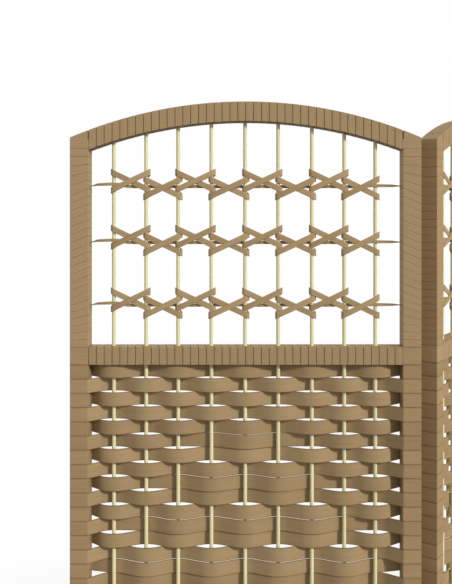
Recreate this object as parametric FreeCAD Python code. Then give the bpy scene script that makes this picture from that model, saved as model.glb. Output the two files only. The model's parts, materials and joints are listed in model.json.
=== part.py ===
import FreeCAD, Part
import math
import os

V = FreeCAD.Vector

# Screen: panels from left to right as seen from the front, which faces -Y
PANELS = ("left", "middle", "right")
REST_FOLD = 57.0  # degrees from one panel to the next
PANEL_WIDTH = 450.0
PANEL_GAP = 1.6  # between two stiles when the panels stand in line
LEG_HEIGHT = 38.6
LATTICE_HEIGHT = 289.4  # middle rail to the underside of the crown
ARCH_RISE = 46.2

# Timber frame
FRAME_CORE = 20.0
STRAIGHT_RAIL_CORE = 19.1
ARCH_CORE = 21.6
EDGE_ROUND = 0.4
PEG_DIAMETER = 6.0
PEG_LENGTH = 24.0
PEG_EASE = 0.1

# Round uprights
UPRIGHT_COUNT = 9
UPRIGHT_DIAMETER = 5.0
UPRIGHT_EASE = 0.2
SOCKET_DEPTH = 12.0
# How far each upright stands from even spacing, in bays
UPRIGHT_SHIFT_SHARES = (0.0, -0.02, -0.05, -0.042, -0.018, -0.015, 0.008, -0.01, -0.068)

# Flat tape wound on the frame
TAPE_THICKNESS = 1.6
TAPE_FIT = 0.2
TAPE_SEAM = 0.6
TAPE_HOLE_EASE = 0.4
RAIL_TAPE_PITCH = 10.0
STILE_TAPE_PITCH = 11.6
RAIL_TURN_SHARES = (0.5, 0.0, 0.5, 0.0)  # underside, front, top, back
STILE_TURN_SHARES = (0.15, 0.35, 0.15, 0.35)  # outer side, front, inner side, back
TAPES_PER_RAIL_END = 1
SEAM_SAMPLES = 8  # points per side on which the gap between turns is measured
CORNER_DROP = 10.0  # plain corner below the arch

# Woven bands
ROW_COUNT = 77
ROW_PITCH = 18.2
ROW_GAP = 0.4
WAVE_DEPTH = 6.4
PLAIN_ROWS = 4
MOTIF_REACH = 3
MOTIF_STEP_ROWS = 3
MOTIF_SPACE_ROWS = 3
MOTIF_BEND = 5.0  # radius of the sharper bends in the motif's turned rows

# Crossed lattice tapes and the flat tape behind each row of them
LATTICE_ROW_SHARES = (0.189, 0.469, 0.719)
LATTICE_RISE = 22.8
LATTICE_STAGGER = 8.7
LATTICE_TAPE_HEIGHT = 6.4
LATTICE_TAPE_THICKNESS = 1.2
LATTICE_FIT = 0.2
LATTICE_CROSS_GAP = 0.3
LOOP_SIDES = 8
LOOP_SLACK = 1.8  # room inside a loop, on the right of the upright
SPINE_HEIGHT = 4.0
SPINE_THICKNESS = 1.0
SPINE_TIP_HEIGHT = 0.8
SPINE_TIP_GAP = 0.5
SPINE_DROP = 2.2  # below the middle of the row
SPINE_LIFT = 1.0  # above the middle of the row, at the first upright
SPINE_TIP_DROP = 1.5
SPINE_SHOULDER_HEIGHT = 3.2
SPINE_SHOULDER_SHARE = 0.45  # of the way from a tip to its upright
SPINE_TIP_TURN = 70.0  # degrees that the tip is twisted

# Foot glides
GLIDE_DIAMETER = 18.0
GLIDE_HEIGHT = 4.0
GLIDE_NAIL_DIAMETER = 3.0
GLIDE_NAIL_LENGTH = 14.0
GLIDE_NAIL_EASE = 0.1

# Butt hinges
HINGE_HEIGHT_SHARES = (0.12, 0.5, 0.88)
HINGE_HEIGHT = 60.0
HINGE_OFFSET = 2.6  # from the stile's face to the pin's centre
LEAF_THICKNESS = 1.2
LEAF_WIDTH = 20.0
LEAF_FIT = 0.1
KNUCKLE_DIAMETER = 4.8
KNUCKLE_GAP = 0.3
KNUCKLE_CLEARANCE = 0.5
PIN_DIAMETER = 2.4
PIN_EASE = 0.05
PIN_HEAD_DIAMETER = 4.0
PIN_HEAD_HEIGHT = 1.0
SCREW_DIAMETER = 3.0
SCREW_HEAD_DIAMETER = 5.6
SCREW_LENGTH = 13.0
SCREW_EASE = 0.1
SCREW_HEIGHT_SHARES = (0.17, 0.5, 0.83)

OVERRUN = 1.0  # cutting bodies reach this far past what they cut

# Sections
wrap = TAPE_FIT + TAPE_THICKNESS
core_half = FRAME_CORE / 2
frame_half = core_half + wrap
tape_middle = core_half + TAPE_FIT + TAPE_THICKNESS / 2
tape_bend = EDGE_ROUND + TAPE_FIT + TAPE_THICKNESS / 2
rail_height = STRAIGHT_RAIL_CORE + 2 * wrap
arch_height = ARCH_CORE + 2 * wrap

# Levels
bottom_rail_z = LEG_HEIGHT
weave_bottom = bottom_rail_z + rail_height
weave_top = weave_bottom + ROW_COUNT * ROW_PITCH
mid_rail_top = weave_top + rail_height
crown = mid_rail_top + LATTICE_HEIGHT + arch_height
half_width = PANEL_WIDTH / 2
arch_radius = (half_width**2 + ARCH_RISE**2) / (2 * ARCH_RISE)

# Plan
stile_x = half_width - frame_half
stile_inner = stile_x - core_half
bay = 2 * stile_x / (UPRIGHT_COUNT + 1)
binding_end = stile_x - frame_half - TAPE_SEAM
hinge_x = half_width + PANEL_GAP / 2
hinge_y = frame_half + HINGE_OFFSET


def upright_x(post):
    """Place of a post: 0 is the left stile, then the uprights, then the right stile."""
    even = not 0 < post <= UPRIGHT_COUNT
    shift = 0 if even else UPRIGHT_SHIFT_SHARES[(post - 1) % len(UPRIGHT_SHIFT_SHARES)]
    return (post + shift) * bay - stile_x


def arch_top(x):
    """Height of the arch's outer line."""
    return crown - arch_radius + math.sqrt(arch_radius**2 - x**2)


def block(x0, x1, y0, y1, z0, z1):
    """A box between two corners."""
    return Part.makeBox(x1 - x0, y1 - y0, z1 - z0, V(x0, y0, z0))


def arch_edge(x0, x1, y, drop):
    """An arc that runs a drop below the arch's outer line."""
    ends = [V(x, y, arch_top(x) - drop) for x in (x0, (x0 + x1) / 2, x1)]
    return Part.Arc(*ends).toShape()


def arch_block(x0, x1, y_half, drop, low):
    """A block under the arch line, from low(x) up to a drop below that line."""
    top = arch_edge(x0, x1, -y_half, drop)
    a, b = V(x0, -y_half, arch_top(x0) - drop), V(x1, -y_half, arch_top(x1) - drop)
    c, d = V(x1, -y_half, low(x1)), V(x0, -y_half, low(x0))
    sides = [Part.makeLine(b, c), Part.makeLine(d, a)]
    face = Part.Face(Part.Wire([top, sides[0], floor_edge(x0, x1, y_half, low), sides[1]]))
    return face.extrude(V(0, 2 * y_half, 0))


def floor_edge(x0, x1, y_half, low):
    """The lower edge of an arch block: straight if level, and otherwise an arc."""
    points = [V(x, -y_half, low(x)) for x in (x1, (x0 + x1) / 2, x0)]
    if low(x0) == low((x0 + x1) / 2):
        return Part.makeLine(points[0], points[2])
    return Part.Arc(*points).toShape()


def rod(radius, start, end):
    """A cylinder from one point to another."""
    return Part.makeCylinder(radius, (end - start).Length, start, end - start)


def mirrored(shape):
    """The same shape on the other side of the panel."""
    return shape.mirror(V(0, 0, 0), V(1, 0, 0))


def drilled(shape, cutters):
    """A shape with holes."""
    return shape.cut(Part.makeCompound(cutters))


def patch(a, b, c, d):
    """A flat face on four points, or two triangles where they don't lie in one plane."""
    normal = (b - a).cross(c - a)
    flat = abs(normal.normalize().dot(d - a)) < Part.Precision.confusion()
    loops = [(a, b, c, d)] if flat else [(a, b, c), (a, c, d)]
    return [Part.Face(Part.makePolygon(list(loop) + [loop[0]])) for loop in loops]


def strip_solid(stations):
    """A solid tape through four-cornered stations."""
    faces = patch(*stations[0]) + patch(*stations[-1])
    for near, far in zip(stations, stations[1:]):
        for i in range(4):
            j = (i + 1) % 4
            faces += patch(near[i], near[j], far[j], far[i])
    shell = Part.Shell(faces)
    shell.sewShape()
    solid = Part.Solid(shell)
    if solid.Volume < 0:
        solid.reverse()
    return solid


def ribbon_face(start, heading, moves, thickness):
    """The plan of a tape that follows straight runs (length, 0) and bends (radius, angle)."""
    sides = {1: [], -1: []}
    place = V(*start, 0)
    for size, angle in moves:
        left = V(-math.sin(heading), math.cos(heading), 0)
        if angle == 0:
            step = V(math.cos(heading), math.sin(heading), 0) * size
            for side, edges in sides.items():
                shift = left * (side * thickness / 2)
                edges.append(Part.makeLine(place + shift, place + step + shift))
            place = place + step
            continue
        sign = math.copysign(1, angle)
        centre = place + left * (sign * size)
        for side, edges in sides.items():
            radius = size - side * sign * thickness / 2
            turns = [heading + angle * part - sign * math.pi / 2 for part in (0, 0.5, 1)]
            points = [centre + V(math.cos(t), math.sin(t), 0) * radius for t in turns]
            edges.append(Part.Arc(*points).toShape())
        heading += angle
        out = heading - sign * math.pi / 2
        place = centre + V(math.cos(out), math.sin(out), 0) * size
    left_side, right_side = sides[1], sides[-1]
    first = Part.makeLine(right_side[0].firstVertex().Point, left_side[0].firstVertex().Point)
    last = Part.makeLine(left_side[-1].lastVertex().Point, right_side[-1].lastVertex().Point)
    return Part.Face(Part.Wire([first] + left_side + [last] + right_side[::-1]))


def s_bend(run, shift):
    """Two equal arcs that carry a band across by shift over the length run."""
    if shift == 0:
        return [(run, 0)]
    angle = 2 * math.atan2(shift, run)
    radius = run / 2 / abs(math.sin(angle))
    return [(radius, angle), (radius, -angle)]


def sharp_bend(run, shift):
    """Two short arcs with a straight run between them that carry a band across by shift."""
    if shift == 0:
        return [(run, 0)]
    span = 2 * MOTIF_BEND
    rest = span - abs(shift)
    angle = math.asin(span / math.hypot(run, rest)) - math.atan2(rest, run)
    length = (run - span * math.sin(angle)) / math.cos(angle)
    angle = math.copysign(angle, shift)
    return [(MOTIF_BEND, angle), (length, 0), (MOTIF_BEND, -angle)]


def joined_bends(moves):
    """The same moves with neighbouring arcs of one circle made into one arc."""
    joined = []
    for size, angle in moves:
        if joined and angle * joined[-1][1] > 0 and math.isclose(size, joined[-1][0]):
            angle += joined.pop()[1]
        joined.append((size, angle))
    return joined


def in_motif(row, post):
    """Whether the motif turns a band to the other side of a post."""
    steps = 2 * MOTIF_REACH + 1
    place = (row - PLAIN_ROWS) % (steps * MOTIF_STEP_ROWS + MOTIF_SPACE_ROWS)
    step, line = divmod(place, MOTIF_STEP_ROWS)
    turned_row = row >= PLAIN_ROWS and step < steps and line == MOTIF_STEP_ROWS // 2
    reach = MOTIF_REACH - abs(step - MOTIF_REACH) + 1
    centre = (UPRIGHT_COUNT + 1) // 2
    return turned_row and abs(post - centre) <= reach


def band_side(row, post):
    """Side on which a band passes a post: 1 is behind it, -1 is in front of it."""
    side = 1 if (row + post) % 2 == 0 else -1
    return -side if in_motif(row, post) else side


def band_face(sides, turned):
    """The plan of one woven band, from its tail on one stile to its tail on the other."""
    flat = tape_middle - tape_bend
    turn = math.copysign(math.pi / 2, -sides[0])
    wrap_moves = [(2 * flat, 0), (tape_bend, turn)] * 3 + [(2 * flat, 0)]
    depths = [sides[0] * tape_middle] + [side * WAVE_DEPTH for side in sides[1:-1]]
    depths.append(sides[-1] * tape_middle)
    moves = list(wrap_moves)
    for post in range(UPRIGHT_COUNT + 1):
        run = upright_x(post + 1) - upright_x(post)
        run -= flat if post in (0, UPRIGHT_COUNT) else 0
        bend = sharp_bend if turned[post] and turned[post + 1] else s_bend
        moves += bend(run, depths[post + 1] - depths[post])
    moves += wrap_moves
    start = (tape_middle - stile_x, sides[0] * flat)
    return ribbon_face(start, -sides[0] * math.pi / 2, joined_bends(moves), TAPE_THICKNESS)


def woven_bands():
    """All bands of a panel, from the top row down."""
    plans, bands = {}, []
    for row in range(ROW_COUNT):
        posts = range(UPRIGHT_COUNT + 2)
        sides = tuple(band_side(row, post) for post in posts)
        turned = tuple(in_motif(row, post) for post in posts)
        if (sides, turned) not in plans:
            plans[sides, turned] = band_face(sides, turned)
        band = plans[sides, turned].extrude(V(0, 0, ROW_PITCH - ROW_GAP))
        low = weave_top - (row + 1) * ROW_PITCH + ROW_GAP / 2
        bands.append(band.translated(V(0, 0, low)))
    return bands


def least_turn_gap(stations):
    """Least distance from points on one edge of a winding to the next turn's edge beside it."""
    gaps = []
    for i in range(len(stations) - 5):
        base = stations[i + 4][0]
        run = stations[i + 5][0] - base
        ends = stations[i][1], stations[i + 1][1]
        points = [ends[0] + (ends[1] - ends[0]) * (k / SEAM_SAMPLES) for k in range(SEAM_SAMPLES + 1)]
        gaps += [point.distanceToLine(base, run) for point in points]
    return min(gaps)


def winding(name, low, high, pitch, shares, halves, place):
    """An unbroken tape wound round a core, cut level at both ends. Shares tell how each turn steps along."""
    turns = round((high - low + TAPE_SEAM) / pitch)
    pitch = (high - low + TAPE_SEAM) / turns
    width = pitch - TAPE_SEAM
    steps = [sum(shares[:i]) - shares[0] for i in range(4)]
    signs = ((1, -1), (-1, -1), (-1, 1), (1, 1))

    def edges(i):
        turn, corner = divmod(i, 4)
        at = low + pitch * (turn + steps[corner])
        return max(at, low), min(at + width, high)

    stations = []
    for i in range(-4, 4 * turns + 4):
        here, there = edges(i), edges(i + 1)
        room, next_room = here[1] - here[0] - TAPE_SEAM, there[1] - there[0] - TAPE_SEAM
        parts = [0] if room >= 0 else []
        parts += [room / (room - next_room)] if room * next_room < 0 else []
        for part in parts:
            first, last = (a + (b - a) * part for a, b in zip(here, there))
            p_share, q_share = (a + (b - a) * part for a, b in zip(signs[i % 4], signs[(i + 1) % 4]))
            rings = []
            for inset in (0, TAPE_THICKNESS):
                p, q = p_share * (halves[0] - inset), q_share * (halves[1] - inset)
                rings.append((place(first, p, q), place(last, p, q)))
            outer, inner = rings
            stations.append([outer[0], outer[1], inner[1], inner[0]])
    print(name, turns, "turns, least gap to itself", round(least_turn_gap(stations[1:-1]), 3), "mm")
    return strip_solid(stations)


def stiles():
    """Left and right stile, drilled for the pegs and the glide nails."""
    low = GLIDE_HEIGHT
    post = block(-stile_x - core_half, -stile_inner, -core_half, core_half, low, crown)
    uprights = [e for e in post.Edges if abs(e.tangentAt(e.FirstParameter).z) > 0.5]
    post = post.makeFillet(EDGE_ROUND, uprights)
    keep = arch_block(-half_width, -stile_inner + OVERRUN, frame_half, wrap, lambda x: 0)
    nail = V(-stile_x, 0, low)
    nail_hole = rod(
        GLIDE_NAIL_DIAMETER / 2 + GLIDE_NAIL_EASE, nail, nail + V(0, 0, GLIDE_NAIL_LENGTH + OVERRUN)
    )
    left = drilled(post.common(keep), peg_holes() + [nail_hole])
    return left, mirrored(left)


def peg_centres():
    """Where the left ends of the arch, middle and bottom rails meet the stile."""
    arch = arch_top(-stile_inner) - wrap - ARCH_CORE / 2
    levels = (arch, mid_rail_top - rail_height / 2, bottom_rail_z + rail_height / 2)
    return [V(-stile_inner, 0, z) for z in levels]


def peg_holes():
    """Cutters for the pegs at the panel's left side."""
    half = V(PEG_LENGTH / 2 + PEG_EASE, 0, 0)
    return [rod(PEG_DIAMETER / 2 + PEG_EASE, c - half, c + half) for c in peg_centres()]


def pegs():
    """Round pegs between rails and stiles."""
    half = V(PEG_LENGTH / 2, 0, 0)
    left = [rod(PEG_DIAMETER / 2, c - half, c + half) for c in peg_centres()]
    return left + [mirrored(peg) for peg in left]


def upright_ends(post):
    """Lowest and highest point of an upright, in the sockets of the bottom rail and the arch."""
    x = upright_x(post)
    low = weave_bottom - wrap - SOCKET_DEPTH
    edge = abs(x) + UPRIGHT_DIAMETER / 2
    high = arch_top(edge) - arch_height + wrap + SOCKET_DEPTH
    return V(x, 0, low), V(x, 0, high)


def uprights():
    """The round uprights."""
    posts = range(1, UPRIGHT_COUNT + 1)
    return [rod(UPRIGHT_DIAMETER / 2, *upright_ends(post)) for post in posts]


def upright_holes(ease):
    """Cutters for the uprights, a little longer than the uprights themselves."""
    extra = V(0, 0, ease)
    holes = []
    for post in range(1, UPRIGHT_COUNT + 1):
        low, high = upright_ends(post)
        holes.append(rod(UPRIGHT_DIAMETER / 2 + ease, low - extra, high + extra))
    return holes


def straight_rail(low):
    """A straight rail between the stiles, whose wound tape starts at the level low."""
    z0 = low + wrap
    rail = block(-stile_inner, stile_inner, -core_half, core_half, z0, z0 + STRAIGHT_RAIL_CORE)
    ends = peg_holes()
    return drilled(rail, upright_holes(UPRIGHT_EASE) + ends + [mirrored(end) for end in ends])


def arch_rail():
    """The arched rail between the stiles."""
    rail = arch_block(
        -stile_inner, stile_inner, core_half, wrap, lambda x: arch_top(x) - wrap - ARCH_CORE
    )
    ends = peg_holes()
    return drilled(rail, upright_holes(UPRIGHT_EASE) + ends + [mirrored(end) for end in ends])


def straight_binding(name, low):
    """The tape wound on a straight rail."""
    middle = low + rail_height / 2
    tape = winding(
        name, -binding_end, binding_end, RAIL_TAPE_PITCH, RAIL_TURN_SHARES,
        (frame_half, rail_height / 2), lambda a, p, q: V(-a, p, middle + q),
    )
    return drilled(tape, upright_holes(TAPE_HOLE_EASE))


def arch_binding():
    """The tape wound on the arched rail."""
    tape = winding(
        "arch_binding", -binding_end, binding_end, RAIL_TAPE_PITCH, RAIL_TURN_SHARES,
        (frame_half, arch_height / 2), lambda a, p, q: V(-a, p, arch_top(a) - arch_height / 2 + q),
    )
    return drilled(tape, upright_holes(TAPE_HOLE_EASE))


def corner_low():
    """Level at which the plain corner starts on the stile."""
    return arch_top(binding_end) - arch_height - CORNER_DROP


def stile_bindings():
    """The tapes wound on the upper stiles and on the legs."""
    spans = {
        "upper_stile_binding": (mid_rail_top + TAPE_SEAM, corner_low() - TAPE_SEAM),
        "leg_binding": (GLIDE_HEIGHT, bottom_rail_z - TAPE_SEAM),
    }
    tapes = [
        winding(
            name, low, high, STILE_TAPE_PITCH, STILE_TURN_SHARES,
            (frame_half, frame_half), lambda a, p, q: V(q - stile_x, p, a),
        )
        for name, (low, high) in spans.items()
    ]
    return tapes + [mirrored(tape) for tape in tapes]


def rail_end_tapes():
    """Short tapes round the front, outer side and back of the stiles where a straight rail meets them."""
    flat = tape_middle - tape_bend
    corner = (tape_bend, math.pi / 2)
    moves = [(frame_half + flat, 0), corner, (2 * flat, 0), corner, (frame_half + flat, 0)]
    plan = ribbon_face((frame_half - stile_x, tape_middle), math.pi, moves, TAPE_THICKNESS)
    pitch = rail_height / TAPES_PER_RAIL_END
    tapes = []
    for low in (bottom_rail_z, weave_top):
        for i in range(TAPES_PER_RAIL_END):
            tape = plan.extrude(V(0, 0, pitch - TAPE_SEAM))
            tapes.append(tape.translated(V(0, 0, low + i * pitch + TAPE_SEAM / 2)))
    return tapes + [mirrored(tape) for tape in tapes]


def corner_caps():
    """Plain wrapped corners over the heads of the stiles, open towards the arched rail."""
    low = corner_low()
    inner = frame_half - stile_x
    hollow_half = core_half + TAPE_FIT
    outside = arch_block(-half_width, inner, frame_half, 0, lambda x: low)
    room = arch_block(
        -stile_x - hollow_half, hollow_half - stile_x, hollow_half, TAPE_THICKNESS, lambda x: low - OVERRUN
    )
    mouth_low = arch_top(-stile_inner) - wrap - ARCH_CORE - TAPE_FIT
    mouth = arch_block(-stile_x, inner + OVERRUN, hollow_half, TAPE_THICKNESS, lambda x: mouth_low)
    cap = outside.cut(room).cut(mouth)
    return [cap, mirrored(cap)]


def loop_station(x, angle, z):
    """A station of a lattice tape on its loop round an upright."""
    corner = math.cos(math.pi / LOOP_SIDES)
    near = (UPRIGHT_DIAMETER / 2 + LATTICE_FIT) / corner
    far = near + LATTICE_TAPE_THICKNESS / corner
    half = LATTICE_TAPE_HEIGHT / 2
    out = V(math.cos(angle), math.sin(angle), 0)
    middle = V(x + LOOP_SLACK * max(out.x, 0), 0, z)
    a, b = middle + out * far, middle + out * near
    up = V(0, 0, half)
    return [a - up, a + up, b + up, b - up]


def loop_stations(x, first, last, z_in, z_out):
    """Stations round an upright. The tape shifts along it on the right side and the back."""
    stations = []
    for i in range(first, last + 1):
        angle = 2 * math.pi * i / LOOP_SIDES - math.pi / 2
        quarter = LOOP_SIDES / 4
        part = min(max((i - quarter) / (2 * quarter), 0), 1)
        stations.append(loop_station(x, angle, z_in + (z_out - z_in) * part))
    return stations


def lattice_tape(level, rising):
    """One crossed tape. It climbs and falls from bay to bay, with a full turn round each upright."""
    cross = LATTICE_TAPE_THICKNESS / math.cos(math.pi / LOOP_SIDES) + LATTICE_CROSS_GAP
    stations = []
    z_end = None
    for post in range(1, UPRIGHT_COUNT + 1):
        odd = post % 2 == 1
        climbs = odd == rising
        middle = LATTICE_STAGGER / 2 if odd else -LATTICE_STAGGER / 2
        z_start = level + middle - (LATTICE_RISE / 2 if climbs else -LATTICE_RISE / 2)
        x = upright_x(post)
        if post == 1:
            stations += loop_stations(x, LOOP_SIDES // 2, LOOP_SIDES, z_start, z_start)
        elif post == UPRIGHT_COUNT:
            stations += loop_stations(x, 0, LOOP_SIDES // 2, z_end, z_end)
            break
        else:
            stations += loop_stations(x, 0, LOOP_SIDES, z_end, z_start)
        z_end = z_start + (LATTICE_RISE if climbs else -LATTICE_RISE)
        leave = stations[-1]
        run = upright_x(post + 1) - x
        crossing = LATTICE_TAPE_HEIGHT * run / (2 * LATTICE_RISE) + LATTICE_CROSS_GAP
        for along in (run / 2 - crossing, run / 2 + crossing):
            step = V(along, -cross if climbs else 0, (z_end - z_start) * along / run)
            stations.append([corner + step for corner in leave])
    return strip_solid(stations)


def spine_station(x, y, z, height, lean):
    """A station of the flat tape behind the crossed ones, turned on its length by lean."""
    up = V(0, math.sin(lean), math.cos(lean)) * (height / 2)
    out = V(0, math.cos(lean), -math.sin(lean)) * (SPINE_THICKNESS / 2)
    middle = V(x, y, z)
    return [middle - out - up, middle - out + up, middle + out + up, middle + out - up]


def spine_tip(side, post, z, depth):
    """Stations of the flat tape from its twisted tip to the shoulder before an end upright."""
    tip = side * (stile_x - frame_half - SPINE_TIP_GAP)
    shoulder = tip + (upright_x(post) + side * UPRIGHT_DIAMETER / 2 - tip) * SPINE_SHOULDER_SHARE
    return [
        spine_station(tip, -depth, z, SPINE_TIP_HEIGHT, math.radians(SPINE_TIP_TURN)),
        spine_station(shoulder, -depth, z, SPINE_SHOULDER_HEIGHT, 0),
    ]


def lattice_spine(level):
    """The flat tape of a lattice row: before the end uprights, behind the others, with twisted tips."""
    depth = UPRIGHT_DIAMETER / 2 + LATTICE_FIT + SPINE_THICKNESS / 2
    reach = UPRIGHT_DIAMETER / 2
    end_levels = {1: level + SPINE_LIFT, UPRIGHT_COUNT: level - SPINE_DROP / 2}
    stations = spine_tip(-1, 1, level - SPINE_TIP_DROP, depth)
    for post in range(1, UPRIGHT_COUNT + 1):
        y = -depth if post in end_levels else depth
        z = end_levels.get(post, level - SPINE_DROP)
        for side in (-reach, reach):
            stations.append(spine_station(upright_x(post) + side, y, z, SPINE_HEIGHT, 0))
    return strip_solid(stations + spine_tip(1, UPRIGHT_COUNT, level - SPINE_TIP_DROP, depth)[::-1])


def lattice_tapes():
    """Three rows of crossed tapes, each with its spine."""
    tapes = []
    for share in LATTICE_ROW_SHARES:
        level = mid_rail_top + share * LATTICE_HEIGHT
        tapes += [lattice_tape(level, True), lattice_tape(level, False), lattice_spine(level)]
    return tapes


def foot_glides():
    """Round glides with nails in the stiles' feet."""
    foot = V(-stile_x, 0, 0)
    top = foot + V(0, 0, GLIDE_HEIGHT)
    glide = rod(GLIDE_DIAMETER / 2, foot, top)
    glide = glide.fuse(rod(GLIDE_NAIL_DIAMETER / 2, foot, top + V(0, 0, GLIDE_NAIL_LENGTH)))
    return [glide.removeSplitter(), mirrored(glide.removeSplitter())]


def panel_nodes():
    """Every piece of a panel, in the panel's own frame."""
    left, right = stiles()
    return {
        "stile_left": [left],
        "stile_right": [right],
        "arch_rail": [arch_rail()],
        "mid_rail": [straight_rail(weave_top)],
        "bottom_rail": [straight_rail(bottom_rail_z)],
        "uprights": uprights(),
        "joint_pegs": pegs(),
        "foot_glides": foot_glides(),
        "arch_binding": [arch_binding()],
        "mid_rail_binding": [straight_binding("mid_rail_binding", weave_top)],
        "bottom_rail_binding": [straight_binding("bottom_rail_binding", bottom_rail_z)],
        "stile_bindings": stile_bindings(),
        "rail_end_tapes": rail_end_tapes(),
        "corner_caps": corner_caps(),
        "woven_bands": woven_bands(),
        "lattice_tapes": lattice_tapes(),
    }


def hinge_levels():
    """Lower ends of the hinges on one joint."""
    height = weave_top - weave_bottom - HINGE_HEIGHT
    return [weave_bottom + share * height for share in HINGE_HEIGHT_SHARES]


def screw_levels():
    """Heights of all the hinge screws on one stile."""
    return [low + share * HINGE_HEIGHT for low in hinge_levels() for share in SCREW_HEIGHT_SHARES]


def screw(point, ease):
    """A countersunk screw that points along -Y from the outer face of a leaf."""
    radius = SCREW_DIAMETER / 2 + ease
    down = V(0, -1, 0)
    head = Part.makeCone(SCREW_HEAD_DIAMETER / 2 + ease, radius, LEAF_THICKNESS, point, down)
    shank = rod(radius, point, point + down * (SCREW_LENGTH + ease))
    return head.fuse(shank).removeSplitter()


def leaf_face():
    """Place of a leaf's outer face, across the hinge, from the pin's centre."""
    return LEAF_FIT + LEAF_THICKNESS - HINGE_OFFSET


def screw_points(side):
    """Screw heads of one stile, from the hinge's axis. Side 1 is towards +X."""
    return [V(side * (hinge_x - stile_x), leaf_face(), z) for z in screw_levels()]


def hinge_leaves(side):
    """Leaves on one side of a joint: outer knuckles on the +X leaves, middle ones on the -X leaves."""
    knuckle = HINGE_HEIGHT / 3
    bore = PIN_DIAMETER / 2 + PIN_EASE
    reach = KNUCKLE_DIAMETER / 2 + KNUCKLE_CLEARANCE
    outer_face = leaf_face()
    leaves = []
    for low in hinge_levels():
        spans = [(low, low + knuckle), (low + 2 * knuckle, low + 3 * knuckle)]
        middle_span = (low + knuckle + KNUCKLE_GAP, low + 2 * knuckle - KNUCKLE_GAP)
        own = spans if side > 0 else [middle_span]
        edges = sorted((side * reach, side * LEAF_WIDTH))
        leaf = block(*edges, outer_face - LEAF_THICKNESS, outer_face, low, low + HINGE_HEIGHT)
        for z0, z1 in own:
            edges = sorted((0, side * (reach + OVERRUN)))
            web = block(*edges, outer_face - LEAF_THICKNESS, outer_face, z0, z1)
            leaf = leaf.fuse([web, rod(KNUCKLE_DIAMETER / 2, V(0, 0, z0), V(0, 0, z1))])
        leaf = leaf.removeSplitter()
        overrun = V(0, 0, OVERRUN)
        cutters = [rod(bore, V(0, 0, low) - overrun, V(0, 0, low + HINGE_HEIGHT) + overrun)]
        cutters += [screw(p, SCREW_EASE) for p in screw_points(side) if low < p.z < low + HINGE_HEIGHT]
        leaves.append(drilled(leaf, cutters))
    return leaves


def hinge_pins():
    """Pins with a flat head at both ends."""
    pins = []
    for low in hinge_levels():
        foot, top = V(0, 0, low - KNUCKLE_GAP), V(0, 0, low + HINGE_HEIGHT + KNUCKLE_GAP)
        head = V(0, 0, PIN_HEAD_HEIGHT)
        caps = [rod(PIN_HEAD_DIAMETER / 2, foot - head, foot), rod(PIN_HEAD_DIAMETER / 2, top, top + head)]
        pins.append(rod(PIN_DIAMETER / 2, foot, top).fuse(caps).removeSplitter())
    return pins


def hinge_screws(side):
    """The screws of one side of a joint."""
    return [screw(point, 0) for point in screw_points(side)]


def screw_holes(panel_side, face):
    """Cutters for the hinge screws in a panel's stile. Face 1 is the back and -1 is the front."""
    axis = V(hinge_x, hinge_y, 0)
    holes = [screw(point + axis, SCREW_EASE) for point in screw_points(-1)]
    if panel_side != face:
        holes = [mirrored(hole) for hole in holes]
    if face < 0:
        holes = [hole.rotated(V(0, 0, 0), V(0, 0, 1), 180) for hole in holes]
    return holes


def with_holes(pieces, holes):
    """The same pieces, drilled where a hole meets them."""
    result = []
    for piece in pieces:
        meeting = [hole for hole in holes if hole.BoundBox.intersect(piece.BoundBox)]
        result.append(drilled(piece, meeting) if meeting else piece)
    return result


def placed(shape, angle, shift):
    """A shape turned about the upright axis and then moved."""
    return shape.rotated(V(0, 0, 0), V(0, 0, 1), angle).translated(shift)


def export(node, pieces):
    """Writes one sub-part."""
    shape = pieces[0] if len(pieces) == 1 else Part.makeCompound(pieces)
    shape.exportStep(f"parts/{node}.step")


def main():
    os.makedirs("parts", exist_ok=True)
    turn = FreeCAD.Rotation(V(0, 0, 1), REST_FOLD)
    back_axis = turn.multVec(V(-hinge_x, hinge_y, 0))
    left_place = back_axis - V(hinge_x, hinge_y, 0)
    spots = {"left": (0, left_place), "middle": (REST_FOLD, V(0, 0, 0)), "right": (0, -left_place)}
    hinged_faces = {"left": [(1, 1)], "middle": [(-1, 1), (1, -1)], "right": [(-1, -1)]}
    pieces = panel_nodes()
    for panel in PANELS:
        holes = [hole for stile, face in hinged_faces[panel] for hole in screw_holes(stile, face)]
        for node, shapes in pieces.items():
            if node in ("stile_left", "stile_right", "woven_bands"):
                shapes = with_holes(shapes, holes)
            export(f"{panel}_{node}", [placed(shape, *spots[panel]) for shape in shapes])
    # The back joint holds the left panel, and the front joint is its copy turned half round
    for joint, half_turn, outer in (("back", 0, "left"), ("front", 180, "right")):
        axis = back_axis if half_turn == 0 else -back_axis
        groups = {
            f"leaves_{outer}": (hinge_leaves(-1), 0),
            "leaves_middle": (hinge_leaves(1), REST_FOLD),
            "pins": (hinge_pins(), REST_FOLD),
            f"screws_{outer}": (hinge_screws(-1), 0),
            "screws_middle": (hinge_screws(1), REST_FOLD),
        }
        for node, (shapes, angle) in groups.items():
            export(f"{joint}_hinge_{node}", [placed(shape, angle + half_turn, axis) for shape in shapes])
    print("back hinge axis", back_axis, "left panel at", left_place, "crown", crown)


main()
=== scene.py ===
import json
import math
import random

import bmesh
import bpy
import numpy as np
from mathutils import Matrix, Vector


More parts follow.
